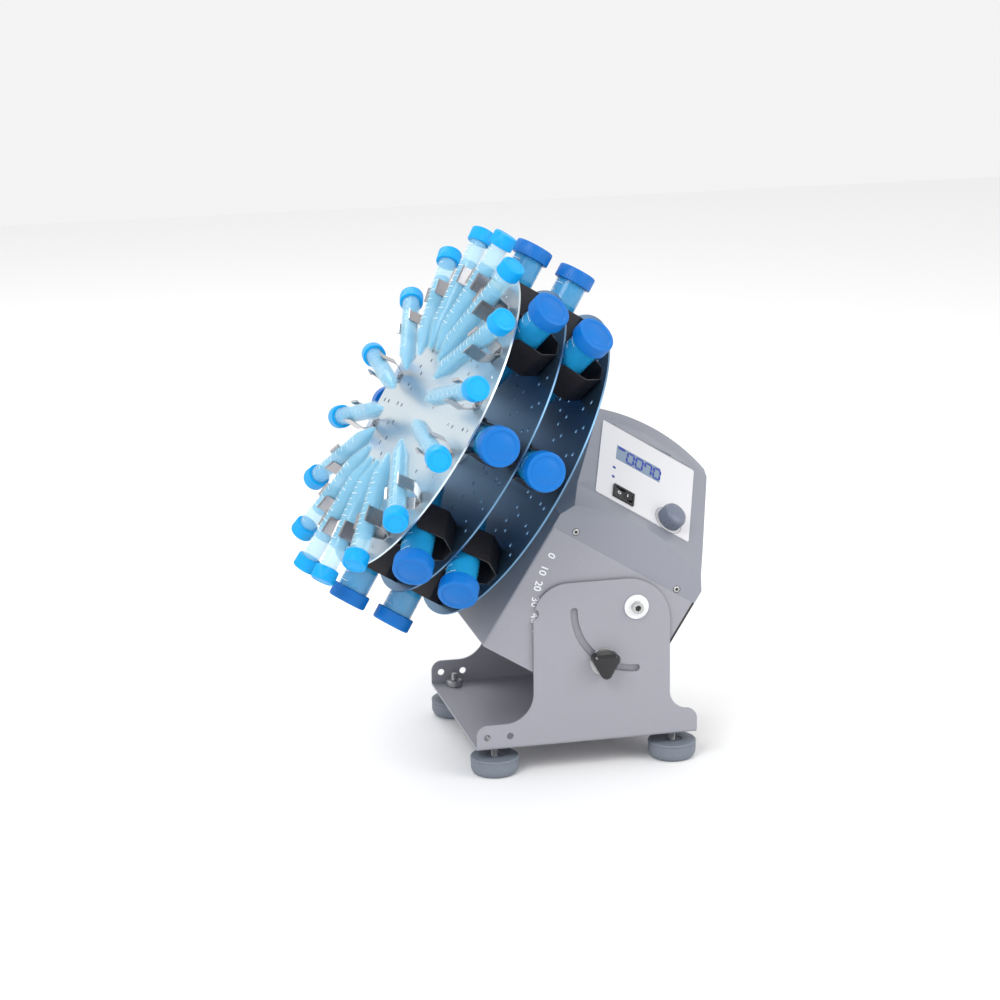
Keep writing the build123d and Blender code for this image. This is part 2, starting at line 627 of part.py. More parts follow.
def make_dial():
    seat = LABEL_THICK + DIAL_GAP
    with BuildPart(panel_plane(DIAL_X, DIAL_Y)) as encoder:
        with Locations((0, 0, -COVER_WALL)):
            Box(ENCODER_BODY, ENCODER_BODY, 8, align=(Align.CENTER, Align.CENTER, Align.MAX))
        with Locations((0, 0, LABEL_THICK)):
            Cylinder(ENCODER_BUSH, LABEL_THICK + COVER_WALL, align=(Align.CENTER, Align.CENTER, Align.MAX))
            Cylinder(ENCODER_SHAFT + RUNNING_FIT, LABEL_THICK + COVER_WALL + 6,
                     align=(Align.CENTER, Align.CENTER, Align.MAX), mode=Mode.SUBTRACT)
    write(encoder, "speed_encoder")
    with BuildPart(panel_plane(DIAL_X, DIAL_Y)) as spindle:
        with Locations((0, 0, seat + DIAL_HEIGHT - 4)):
            Cylinder(ENCODER_SHAFT, seat + DIAL_HEIGHT - 4 + COVER_WALL + 5,
                     align=(Align.CENTER, Align.CENTER, Align.MAX))
    write(spindle, "encoder_spindle")
    with BuildPart(panel_plane(DIAL_X, DIAL_Y, seat)) as dial:
        Cylinder(DIAL_RADIUS, DIAL_HEIGHT, align=(Align.CENTER, Align.CENTER, Align.MIN))
        crown = dial.edges().filter_by(GeomType.CIRCLE).sort_by(lambda e: (e.center() - pivot).length)[-1]
        fillet(crown, 3)
        with PolarLocations(DIAL_RADIUS, DIAL_RIBS):
            Box(2 * DIAL_RIB_DEPTH, 0.9, DIAL_HEIGHT - 4, align=(Align.CENTER, Align.CENTER, Align.MIN),
                mode=Mode.SUBTRACT)
        Cylinder(ENCODER_SHAFT, DIAL_HEIGHT - 4, align=(Align.CENTER, Align.CENTER, Align.MIN),
                 mode=Mode.SUBTRACT)
    write(dial, "speed_knob")


def make_chassis():
    inner = head_half - HEAD_SHEET
    tab = head_half - COVER_WALL
    with BuildPart() as chassis:
        add_box((HEAD_REAR + REAR_PANEL, HEAD_FRONT - HEAD_SHEET),
                (CHASSIS_TOP - CHASSIS_THICK, CHASSIS_TOP), (-inner, inner))
        for side in (-1, 1):
            for out in COVER_SCREW_OUT:
                add_box((out - 7, out + 7), (CHASSIS_TOP, COVER_SCREW_UP + 6),
                        sorted((side * (tab - CHASSIS_THICK), side * tab)))
    write(chassis, "chassis_plate")


def make_drive():
    plane = rotor_plane(0)
    with BuildPart() as block:
        add_box((block_rear, block_front), (CHASSIS_TOP, BLOCK_TOP), (-BLOCK_HALF, BLOCK_HALF))
        add_rod(plane, SHAFT_RADIUS + 2, block_rear, block_front, Mode.SUBTRACT)
        add_rod(plane, BEARING_OUTER, block_rear, block_rear + BEARING_WIDTH, Mode.SUBTRACT)
        add_rod(plane, BEARING_OUTER, block_front - BEARING_WIDTH, block_front, Mode.SUBTRACT)
    write(block, "bearing_block")
    with BuildPart() as bearings:
        for start in (block_rear, block_front - BEARING_WIDTH):
            add_rod(plane, BEARING_OUTER, start, start + BEARING_WIDTH)
            add_rod(plane, SHAFT_RADIUS + RUNNING_FIT, start, start + BEARING_WIDTH, Mode.SUBTRACT)
    write(bearings, "shaft_bearings")
    with BuildPart() as motor:
        add_rod(plane, MOTOR_RADIUS, motor_rear, gearbox_rear)
    write(motor, "drive_motor")
    with BuildPart() as gearbox:
        add_rod(plane, GEARBOX_RADIUS, gearbox_rear, gearbox_front)
        add_rod(plane, MOTOR_SHAFT + RUNNING_FIT, gearbox_front - 14, gearbox_front, Mode.SUBTRACT)
    write(gearbox, "motor_gearbox")
    plate_front = gearbox_front + BRACKET_THICK
    with BuildPart() as bracket:
        add_box((gearbox_front, plate_front), (CHASSIS_TOP, BLOCK_TOP), (-BRACKET_HALF, BRACKET_HALF))
        add_box((plate_front, plate_front + BRACKET_FOOT), (CHASSIS_TOP, CHASSIS_TOP + BRACKET_THICK),
                (-BRACKET_HALF, BRACKET_HALF))
        add_rod(plane, 2 * MOTOR_SHAFT, gearbox_front, plate_front, Mode.SUBTRACT)
    write(bracket, "motor_bracket")
    coupling_rear = plate_front + 2
    with BuildPart() as output:
        add_rod(plane, MOTOR_SHAFT, gearbox_front - 12, shaft_rear)
    write(output, "gearbox_output")
    with BuildPart() as coupling:
        add_rod(plane, COUPLING_RADIUS, coupling_rear, 2 * shaft_rear - coupling_rear)
        add_rod(plane, MOTOR_SHAFT, coupling_rear, shaft_rear, Mode.SUBTRACT)
        add_rod(plane, SHAFT_RADIUS, shaft_rear, 2 * shaft_rear - coupling_rear, Mode.SUBTRACT)
    write(coupling, "shaft_coupling")


def make_rotor_core():
    hub_front = rear_plate - PLATE_THICK / 2
    plane = rotor_plane(0)
    with BuildPart() as shaft:
        add_rod(plane, SHAFT_RADIUS, shaft_rear, hub_front)
    write(shaft, "drive_shaft")
    with BuildPart() as hub:
        add_rod(plane, HUB_RADIUS, hub_front - HUB_THICK, hub_front)
        add_rod(plane, HUB_BOSS, hub_front - HUB_THICK - HUB_BOSS_LENGTH, hub_front - HUB_THICK)
        add_rod(plane, SHAFT_RADIUS, hub_front - HUB_THICK - HUB_BOSS_LENGTH, hub_front, Mode.SUBTRACT)
    write(hub, "rotor_hub")
    with BuildPart() as spacers:
        for out, pitch in ((rear_plate, REAR_PITCH), (middle_plate, FRONT_PITCH)):
            start = out + PLATE_THICK / 2
            add_rod(plane, SPACER_RADIUS, start, start + pitch - PLATE_THICK)
    write(spacers, "plate_spacers")
    for out, place in ((rear_plate, "rear"), (middle_plate, "middle"), (front_plate, "front")):
        with BuildPart(rotor_plane(out)) as plate:
            Cylinder(PLATE_RADIUS, PLATE_THICK)
        write(plate, f"{place}_plate")


def strip_outline(points, thickness):
    """Closed outline of a bent strip from its middle line, with mitred corners."""
    sides = ([], [])
    for index, here in enumerate(points):
        before = Vector(*points[max(index - 1, 0)])
        after = Vector(*points[min(index + 1, len(points) - 1)])
        here = Vector(*here)
        runs = [run.normalized() for run in (here - before, after - here) if run.length > 0]
        bisector = (runs[0] + runs[-1]).normalized()
        normal = Vector(-bisector.Y, bisector.X)
        reach = thickness / 2 / bisector.dot(runs[0])
        sides[0].append(here + normal * reach)
        sides[1].append(here - normal * reach)
    return sides[0] + sides[1][::-1]


def make_clip(radius, height, thickness, length):
    """One clip at angle zero: x runs outwards, y across the tube, z up from the plate."""
    lean = math.radians(CLIP_LEAN)
    grip = radius + CLIP_GRIP + thickness / 2
    drop = 1.15 * radius
    rise = 0.62 * radius
    fold = (grip / math.cos(lean) + drop * math.tan(lean), height - drop)
    mouth = (grip / math.cos(lean) - rise * math.tan(lean), height + rise)
    lip = (mouth[0] + 0.2 * radius, mouth[1] + 0.2 * radius)
    foot = (0.5 * radius, PLATE_THICK / 2 + thickness / 2)
    half = [foot, fold, mouth, lip]
    line = [(-y, z) for y, z in reversed(half)] + half
    with BuildPart() as clip:
        with BuildSketch(Plane.YZ.offset(clip_radius - length / 2)):
            with BuildLine():
                Polyline(*strip_outline(line, thickness), close=True)
            make_face()
        extrude(amount=length)
    return clip.part


def make_tube(radius, tip, cone, start, end):
    """One closed tube at angle zero, with a tapered inner end."""
    with BuildPart() as tube:
        with BuildSketch(Plane.YZ.offset(start)):
            RegularPolygon(tip, TUBE_SIDES)
        with BuildSketch(Plane.YZ.offset(start + cone)):
            RegularPolygon(radius, TUBE_SIDES)
        loft()
        with BuildSketch(Plane.YZ.offset(start + cone)) as face:
            RegularPolygon(radius, TUBE_SIDES)
        extrude(face.sketch, amount=end - start - cone)
    return tube.part


def make_cap(radius, start, end):
    with BuildPart() as cap:
        with BuildSketch(Plane.YZ.offset(start)):
            RegularPolygon(radius, CAP_SIDES, major_radius=False)
        extrude(amount=end - start)
    return cap.part


def make_tube_set(out, name, count, angle, reach, height, length, radius, tip, cone, cap, cap_length,
                  sheet, clip_length):
    cap_start = reach - cap_length
    pieces = {
        "clips": (out, make_clip(radius, height, sheet, clip_length)),
        "tubes": (out + height, make_tube(radius, tip, cone, reach - length, cap_start)),
        "caps": (out + height, make_cap(cap, cap_start, reach)),
    }
    for kind, (level, piece) in pieces.items():
        with BuildPart(rotor_plane(level)) as ring:
            with PolarLocations(0, count, start_angle=TUBE_ANGLE + angle):
                add(piece)
        write(ring, f"{kind}_{name}")


def make_tubes():
    large = (LARGE_COUNT, 0, PLATE_RADIUS + LARGE_OVERHANG, LARGE_HEIGHT, LARGE_LENGTH, LARGE_RADIUS,
             LARGE_TIP, LARGE_CONE, LARGE_CAP, LARGE_CAP_LENGTH, LARGE_CLIP_SHEET, LARGE_CLIP_LENGTH)
    small = (SMALL_COUNT, 180 / SMALL_COUNT, PLATE_RADIUS + SMALL_OVERHANG, SMALL_HEIGHT, SMALL_LENGTH,
             SMALL_RADIUS, SMALL_TIP, SMALL_CONE, SMALL_CAP, SMALL_CAP_LENGTH, SMALL_CLIP_SHEET,
             SMALL_CLIP_LENGTH)
    make_tube_set(rear_plate, "rear", *large)
    make_tube_set(middle_plate, "middle", *large)
    make_tube_set(front_plate, "front", *small)


os.makedirs("parts", exist_ok=True)
make_base_bracket()
make_feet()
make_pivots()
make_clamps()
make_housing()
make_rear_panel()
make_cover()
make_label()
make_board()
make_switch()
make_dial()
make_chassis()
make_drive()
make_rotor_core()
make_tubes()
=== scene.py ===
import json
import math

import bmesh
import bpy
from mathutils import Matrix, Vector


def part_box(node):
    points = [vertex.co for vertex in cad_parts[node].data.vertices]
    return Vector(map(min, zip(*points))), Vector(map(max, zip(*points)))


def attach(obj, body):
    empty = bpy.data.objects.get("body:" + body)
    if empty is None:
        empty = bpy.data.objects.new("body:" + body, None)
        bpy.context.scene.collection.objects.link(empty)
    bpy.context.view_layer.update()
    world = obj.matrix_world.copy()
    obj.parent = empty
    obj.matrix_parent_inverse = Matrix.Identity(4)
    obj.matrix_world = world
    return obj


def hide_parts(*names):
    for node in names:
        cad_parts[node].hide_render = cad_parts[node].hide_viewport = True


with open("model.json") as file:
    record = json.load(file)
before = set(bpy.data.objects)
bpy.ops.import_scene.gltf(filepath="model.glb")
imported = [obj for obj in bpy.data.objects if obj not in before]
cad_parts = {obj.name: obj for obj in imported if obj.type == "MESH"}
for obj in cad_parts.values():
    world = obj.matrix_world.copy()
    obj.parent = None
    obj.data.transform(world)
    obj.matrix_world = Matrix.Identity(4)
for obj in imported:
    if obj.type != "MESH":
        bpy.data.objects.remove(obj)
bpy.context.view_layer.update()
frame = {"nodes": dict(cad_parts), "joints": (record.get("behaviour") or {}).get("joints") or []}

# The base bracket: one sheet of steel bent into a channel and powder-coated mid grey.
# Its two tall walls carry the tilting head, and the fine texture of the coat shows
# in the highlights, with edges softened by the shears and the coat.
MM = 0.001
POWDER_GREY = (0.30, 0.30, 0.34)
NOISE_DETAIL = 4
NOISE_RANGE = (0.3, 0.7)
RELIEF = 0.1 * MM
WELD = 0.002 * MM
FLAT_ANGLE = math.radians(0.5)
EDGE_ANGLE = math.radians(40)


def shader_of(material):
    return material.node_tree.nodes["Principled BSDF"]


def plain(name, color, roughness, metallic=0.0):
    """A material with the plain values on the shader's own sockets."""
    material = bpy.data.materials.new(name)
    material.use_nodes = True
    shader = shader_of(material)
    shader.inputs["Base Color"].default_value = (*color, 1)
    shader.inputs["Roughness"].default_value = roughness
    shader.inputs["Metallic"].default_value = metallic
    return material


def speckled(name, color, roughness, spread, grain, gloss, bump, metallic=0.0, stretch=(1, 1, 1)):
    """A material whose colour and roughness vary with a fine noise that also raises it."""
    material = plain(name, color, roughness, metallic)
    tree, shader = material.node_tree, shader_of(material)
    place = tree.nodes.new("ShaderNodeTexCoord")
    mapping = tree.nodes.new("ShaderNodeMapping")
    mapping.inputs["Scale"].default_value = stretch
    noise = tree.nodes.new("ShaderNodeTexNoise")
    noise.inputs["Scale"].default_value = grain
    noise.inputs["Detail"].default_value = NOISE_DETAIL
    tree.links.new(place.outputs["Object"], mapping.inputs["Vector"])
    tree.links.new(mapping.outputs["Vector"], noise.inputs["Vector"])
    ramp = tree.nodes.new("ShaderNodeValToRGB")
    dark, light = ramp.color_ramp.elements
    dark.position, light.position = NOISE_RANGE
    dark.color = (*(c * (1 - spread) for c in color), 1)
    light.color = (*(min(1, c * (1 + spread)) for c in color), 1)
    tree.links.new(noise.outputs["Fac"], ramp.inputs["Fac"])
    tree.links.new(ramp.outputs["Color"], shader.inputs["Base Color"])
    polish = tree.nodes.new("ShaderNodeMapRange")
    polish.inputs["To Min"].default_value = gloss[0]
    polish.inputs["To Max"].default_value = gloss[1]
    tree.links.new(noise.outputs["Fac"], polish.inputs["Value"])
    tree.links.new(polish.outputs["Result"], shader.inputs["Roughness"])
    relief = tree.nodes.new("ShaderNodeBump")
    relief.inputs["Strength"].default_value = bump
    relief.inputs["Distance"].default_value = RELIEF
    tree.links.new(noise.outputs["Fac"], relief.inputs["Height"])
    tree.links.new(relief.outputs["Normal"], shader.inputs["Normal"])
    return material


def powder_coat(name, color):
    return speckled(name, color, 0.45, spread=0.05, grain=1400, gloss=(0.36, 0.5), bump=0.25)


def fit(name, shape, body, slot, material, *nodes, smooth=35):
    """Turn a finished shape into a piece that rides on its body and stands for CAD nodes."""
    mesh = bpy.data.meshes.new(name)
    shape.to_mesh(mesh)
    shape.free()
    mesh.shade_smooth()
    mesh.set_sharp_from_angle(angle=math.radians(smooth))
    mesh.materials.append(material)
    piece = bpy.data.objects.new(name, mesh)
    bpy.context.scene.collection.objects.link(piece)
    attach(piece, body)
    if nodes:
        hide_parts(*nodes)
    return piece


def machined(node, name, body, slot, material, edge, smooth=35):
    """The CAD piece's own shape with its sharp edges rounded by so many millimetres."""
    shape = bmesh.new()
    shape.from_mesh(frame["nodes"][node].data)
    bmesh.ops.remove_doubles(shape, verts=shape.verts, dist=WELD)
    bmesh.ops.dissolve_limit(shape, angle_limit=FLAT_ANGLE, verts=shape.verts, edges=shape.edges)
    piece = fit(name, shape, body, slot, material, node, smooth=smooth)
    bevel = piece.modifiers.new("edges", "BEVEL")
    bevel.width = edge * MM
    bevel.segments = 2
    bevel.limit_method = "ANGLE"
    bevel.angle_limit = EDGE_ANGLE
    bevel.use_clamp_overlap = True
    bevel.harden_normals = True
    return piece


grey_coat = powder_coat("grey_powder_coat", POWDER_GREY)
machined("base_bracket", "bracket", "base", "grey_steel", grey_coat, edge=0.4)

# The four feet: moulded rubber pads with a rounded rim, on zinc-plated M6 studs that
# pass through the base plate, each locked by a round collar on top of the plate.
RUBBER_GREY = (0.17, 0.195, 0.235)
FOOT_PROFILE = ((0, 0), (16.8, 0), (18.4, 0.7), (19.9, 2.2), (21.0, 4.4), (21.4, 6.6),
                (21.45, 12.8), (21.1, 13.2), (21.1, 13.6), (21.6, 14.1), (21.6, 15.2),
                (20.8, 16.0), (9.0, 16.0), (8.2, 15.4), (3.0, 15.4))
FOOT_RADIUS = 21.6
STUD_BOTTOM = ((0, 15), (2.9, 15))
STUD_TIP = ((2.5, 39.7), (0, 40.0))
THREAD_START, THREAD_PITCH, THREAD_TURNS = 15.5, 1.0, 24
THREAD_ROOT, THREAD_CREST = 2.62, 2.98
COLLAR = ((3.0, 0), (6.6, 0), (7.0, 0.5), (7.0, 5.4), (6.4, 6), (3.6, 6), (3.05, 5.4), (3.0, 0))
ZINC = (0.50, 0.50, 0.50)
BASE_TOP = 27.5


def turned(profile, sides):
    """A round shape from a profile of radius and height in millimetres, turned about Z."""
    shape = bmesh.new()
    verts = [shape.verts.new((radius * MM, 0, height * MM)) for radius, height in profile]
    edges = [shape.edges.new(pair) for pair in zip(verts, verts[1:])]
    bmesh.ops.spin(shape, geom=verts + edges, cent=(0, 0, 0), axis=(0, 0, 1), angle=2 * math.pi,
                   steps=sides, use_merge=True)
    bmesh.ops.remove_doubles(shape, verts=shape.verts, dist=WELD)
    bmesh.ops.recalc_face_normals(shape, faces=shape.faces)
    return shape


def copies(shape, places):
    """The same shape at several places, as one shape."""
    one = bpy.data.meshes.new("pattern")
    shape.to_mesh(one)
    shape.free()
    together = bmesh.new()
    for place in places:
        copy = one.copy()
        copy.transform(place)
        together.from_mesh(copy)
        bpy.data.meshes.remove(copy)
    bpy.data.meshes.remove(one)
    return together


def plated(name, color, roughness):
    gloss = (roughness - 0.06, roughness + 0.08)
    return speckled(name, color, roughness, spread=0.06, grain=900, gloss=gloss, bump=0.06, metallic=1.0)


rubber = speckled("foot_rubber", RUBBER_GREY, 0.6, spread=0.08, grain=700, gloss=(0.5, 0.68), bump=0.3)
zinc = plated("zinc_plate", ZINC, 0.32)
pads_low, pads_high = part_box("foot_pads")
foot_radius = FOOT_RADIUS * MM
foot_places = [Matrix.Translation((x, y, 0))
               for x in (pads_low.x + foot_radius, pads_high.x - foot_radius)
               for y in (pads_low.y + foot_radius, pads_high.y - foot_radius)]
fit("feet", copies(turned(FOOT_PROFILE, sides=48), foot_places), "base", "rubber", rubber, "foot_pads")
stud = list(STUD_BOTTOM)
for index in range(THREAD_TURNS):
    height = THREAD_START + index * THREAD_PITCH
    stud += [(THREAD_ROOT, height), (THREAD_CREST, height + THREAD_PITCH / 2)]
stud += STUD_TIP
fit("foot_thread", copies(turned(stud, sides=24), foot_places), "base", "zinc_steel", zinc, "foot_studs")
collar = [(radius, BASE_TOP + height) for radius, height in COLLAR]
fit("foot_collar", copies(turned(collar, sides=32), foot_places), "base", "zinc_steel", zinc)

# The tilting joint: white plastic bushes pressed into the walls, and a socket-head
# screw through each into a nut inside the head, with a thin washer that it rubs on.
WHITE_NYLON = (0.78, 0.79, 0.8)
nylon = speckled("white_nylon", WHITE_NYLON, 0.38, spread=0.02, grain=500, gloss=(0.32, 0.44), bump=0.08)
machined("pivot_bushes", "bushes", "base", "white_plastic", nylon, edge=0.3)
machined("pivot_washers", "friction_washers", "base", "white_plastic", nylon, edge=0.1)
machined("pivot_screws", "socket_screws", "head", "zinc_steel", zinc, edge=0.25)
machined("clamp_washers", "slot_washers", "head", "zinc_steel", zinc, edge=0.3)

# The head: a steel box, open at the top and rear, with the same powder coat as the
# bracket. Its sides carry printed angle figures that pass the notch in each wall.
SCALE_RADIUS = 91.5
SCALE_START = 34.2
SCALE_SIZE = 9.4
SCALE_STEP = 10
SCALE_END = 90
SCALE_TURN = 0.92
SCALE_BOLD = 0.12
PRINT_THICK = 0.05
PRINT_WHITE = (0.82, 0.83, 0.85)
FONT_FINENESS = 4
SIDES = (-1, 1)
HEAD_HALF = 93.1
machined("head_housing", "head_box", "head", "grey_steel", grey_coat, edge=0.3)
joints = {joint["name"]: joint for joint in frame["joints"]}
pivot = Vector(joints["tilt"]["pos_m"])
axis_out = Vector(joints["rotor_spin"]["axis"]).normalized()
near_side = Vector((0, -1, 0))
axis_up = axis_out.cross(near_side)


def placed(origin, x_axis, y_axis):
    """The matrix that lays a flat thing, drawn on X and Y, at a place of the machine."""
    matrix = Matrix((x_axis, y_axis, x_axis.cross(y_axis))).transposed().to_4x4()
    matrix.translation = origin
    return matrix


def lettering(text, size, matrix):
    """Printed characters of a size in millimetres, centred on a place."""
    curve = bpy.data.curves.new("lettering", "FONT")
    curve.body = text
    curve.size = size * MM
    curve.align_x = "CENTER"
    curve.align_y = "CENTER"
    curve.extrude = PRINT_THICK * MM / 2
    curve.offset = SCALE_BOLD * MM
    curve.resolution_u = FONT_FINENESS
    words = bpy.data.objects.new("lettering", curve)
    mesh = bpy.data.meshes.new_from_object(words)
    mesh.transform(matrix)
    bpy.data.objects.remove(words)
    bpy.data.curves.remove(curve)
    return mesh


def gather(meshes):
    """Several meshes as one shape."""
    together = bmesh.new()
    for mesh in meshes:
        together.from_mesh(mesh)
        bpy.data.meshes.remove(mesh)
    return together


figures = []
for side in SIDES:
    for value in range(0, SCALE_END + 1, SCALE_STEP):
        angle = math.radians(SCALE_START - value * SCALE_TURN)
        out = Vector((-math.cos(angle), 0, math.sin(angle)))
        along = Vector((-math.sin(angle), 0, -math.cos(angle))) * -side
        origin = pivot + out * SCALE_RADIUS * MM
        origin.y = side * (HEAD_HALF + PRINT_THICK / 2) * MM
        figures.append(lettering(str(value), SCALE_SIZE, placed(origin, along, -out)))
white_print = speckled("white_print", PRINT_WHITE, 0.5,
                       spread=0.04, grain=2500, gloss=(0.45, 0.55), bump=0.1)
fit("angle_figures", gather(figures), "head", "white_plastic", white_print)

# The rear of the head: a black steel sheet that closes the box, held by four small
# screws, with the round jack of the low-voltage supply moulded in black plastic.
BLACK_COAT = (0.02, 0.02, 0.022)
PLASTIC_BLACK = (0.025, 0.025, 0.028)
SCREW_HEAD = ((0, 0.7), (1.2, 0.7), (1.3, 1.35), (1.9, 1.5), (2.6, 1.0), (2.9, 0))
HEAD_REAR, HEAD_BOTTOM, HEAD_SPLIT = -47.3, -94.8, 26.5
SCREW_INSET = 7


def on_head(out, up, y):
    """A place of the head in millimetres: along the rotor axis, square to it, and along Y."""
    return pivot + axis_out * out * MM + axis_up * up * MM + Vector((0, y * MM, 0))


def dress(material, *nodes):
    for node in nodes:
        data = frame["nodes"][node].data
        data.materials.clear()
        data.materials.append(material)


black_coat = powder_coat("black_powder_coat", BLACK_COAT)
black_plastic = speckled("black_plastic", PLASTIC_BLACK, 0.4,
                         spread=0.1, grain=1200, gloss=(0.34, 0.48), bump=0.12)
machined("rear_panel", "rear_sheet", "head", "black_steel", black_coat, edge=0.25)
dress(black_plastic, "power_jack")
rear_screws = [placed(on_head(HEAD_REAR, up, y), -axis_up, near_side)
               for up in (HEAD_BOTTOM + SCREW_INSET, HEAD_SPLIT - SCREW_INSET)
               for y in (SCREW_INSET - HEAD_HALF, HEAD_HALF - SCREW_INSET)]
fit("rear_screws", copies(turned(SCREW_HEAD, sides=24), rear_screws), "head", "zinc_steel", zinc)

# The works inside the head: a chassis sheet, the gear motor with its bracket and
# coupling, the bearing block, and the control board. None of it shows from outside.
BOARD_GREEN = (0.03, 0.16, 0.07)
ALLOY_GREY = (0.72, 0.73, 0.75)
board_green = speckled("board_lacquer", BOARD_GREEN, 0.35,
                       spread=0.1, grain=300, gloss=(0.3, 0.42), bump=0.05)
alloy = plated("turned_aluminium", ALLOY_GREY, 0.3)
dress(grey_coat, "chassis_plate", "motor_bracket")
dress(board_green, "control_board")
dress(black_plastic, "board_standoffs")
dress(zinc, "pivot_nuts", "clamp_nuts", "drive_motor", "motor_gearbox", "gearbox_output", "shaft_bearings",
      "speed_encoder", "encoder_spindle", "drive_shaft")
dress(alloy, "bearing_block", "shaft_coupling")

# The cover: one smooth grey moulding that sits on the steel box and leans up to the
# ridge behind the control panel. Two recessed screws hold each of its sides. The shade
# in the hexagon sockets of these screws and of the two pivot screws is painted here as
# flat black hexagons, and the shade in the recess round each cover screw as a thin black ring.
COVER_GREY = (0.245, 0.255, 0.295)
COVER_SCREWS = ((83.0, 31.8), (-25.9, 30.0))
SUNK_SCREW = ((1.3, 0.05), (1.45, 0.4), (2.4, 0.45), (2.8, 0.15), (2.8, -0.4))
# Painted shade: a thin flat black ring round each cover screw stands for the shade in its recess.
SCREW_WELL_SHADE = ((2.8, 0.02), (3.3, 0.02), (3.35, 0.08), (3.3, 0.12), (2.9, 0.1), (2.8, 0.02))
# Painted shade: a flat black hexagon on each cover screw stands for the shade in its socket.
SCREW_SOCKET_SHADE = ((0, 0.12), (1.45, 0.12), (1.45, 0), (0, 0))
# Painted shade: a flat black hexagon on each pivot screw's end stands for the shade in its socket.
PIVOT_SOCKET_SHADE = ((0, 0.15), (2.8, 0.15), (2.8, 0.05), (0, 0.05))
PIVOT_SOCKET_OUT = 100.7


def on_side(place, side):
    """A place on the near (-1) or far (1) side of the head, with its axis pointing outwards."""
    return placed(place, Vector((1, 0, 0)), Vector((0, 0, -side)))


cover_grey = speckled("cover_moulding", COVER_GREY, 0.42,
                      spread=0.03, grain=1800, gloss=(0.36, 0.48), bump=0.14)
machined("top_cover", "cover", "head", "cover_plastic", cover_grey, edge=1.2, smooth=20)
sunk = [on_side(on_head(out, up, side * HEAD_HALF), side) for out, up in COVER_SCREWS for side in SIDES]
fit("cover_screws", copies(turned(SUNK_SCREW, sides=24), sunk), "head", "zinc_steel", zinc)
# Painted shade: black rings, in the black plastic material, for the shade in the recesses round the cover
# screws.
fit("screw_well_shade", copies(turned(SCREW_WELL_SHADE, sides=32), sunk), "head", "cover_plastic", black_plastic)
# Painted shade: black hexagons, in the black plastic material, for the shade in the cover screws' sockets.
fit("screw_socket_shade", copies(turned(SCREW_SOCKET_SHADE, sides=6), sunk), "head", "cover_plastic", black_plastic)
# Painted shade: black hexagons, in the black plastic material, for the shade in the pivot screws' sockets.
pivot_ends = [on_side(pivot + Vector((0, side * PIVOT_SOCKET_OUT * MM, 0)), side) for side in SIDES]
fit("pivot_socket_shade", copies(turned(PIVOT_SOCKET_SHADE, sides=6), pivot_ends), "head", "black_plastic",
    black_plastic)

# The control panel: a printed off-white film on the sloping face, round a liquid
# crystal display that shows the speed, and two small indicator windows.
LABEL_WHITE = (0.66, 0.66, 0.68)
LCD_BLUE = (0.20, 0.27, 0.36)
LCD_INK = (0.01, 0.035, 0.32)
LABEL_THICK = 0.8
KNOB_PLACE = (27.3, -33.6)
LCD_PLACE = (-9.3, 15.5)
DIGITS, DIGIT_SIZE, DIGIT_PITCH, DIGIT_START = "0070", (8.0, 14.6), 9.6, -8.6
DIGIT_SCALE, DIGIT_SLANT = 0.86, 0.08
SEGMENT_WIDTH, SEGMENT_GAP = 1.9, 0.3
SEGMENTS = {"0": "abcdef", "7": "abcf"}
STATUS_MARK = ((-18.4, 6.6), (8.6, 3.0))
INDICATORS = ((-33.8, -5.3), (-33.8, -17.0))
INDICATOR_DOME = ((0, 0.25), (1.2, 0.2), (1.75, 0.05), (1.75, 0))
INDICATOR_FLATTEN = 0.7
panel_normal = Vector(joints["speed_turn"]["axis"]).normalized()
panel_up = panel_normal.cross(-axis_out)
panel_origin = (Vector(joints["speed_turn"]["pos_m"]) + axis_out * KNOB_PLACE[0] * MM
                - panel_up * KNOB_PLACE[1] * MM)


def on_panel(x, y, lift=0.0):
    """The matrix of a place on the control label, with X to the right and Y up the slope."""
    origin = panel_origin - axis_out * x * MM + panel_up * y * MM + panel_normal * lift * MM
    return placed(origin, -axis_out, panel_up)


def bar(shape, x, y, length, width, upright):
    """One segment of a digit: a flat bar with pointed ends."""
    half, across = length / 2, width / 2
    outline = ((-half, 0), (-half + across, across), (half - across, across), (half, 0),
               (half - across, -across), (-half + across, -across))
    turn = (lambda a, b: (-b, a)) if upright else (lambda a, b: (a, b))
    verts = [shape.verts.new(((x + turn(a, b)[0]) * MM, (y + turn(a, b)[1]) * MM, 0))
             for a, b in outline]
    shape.faces.new(verts)


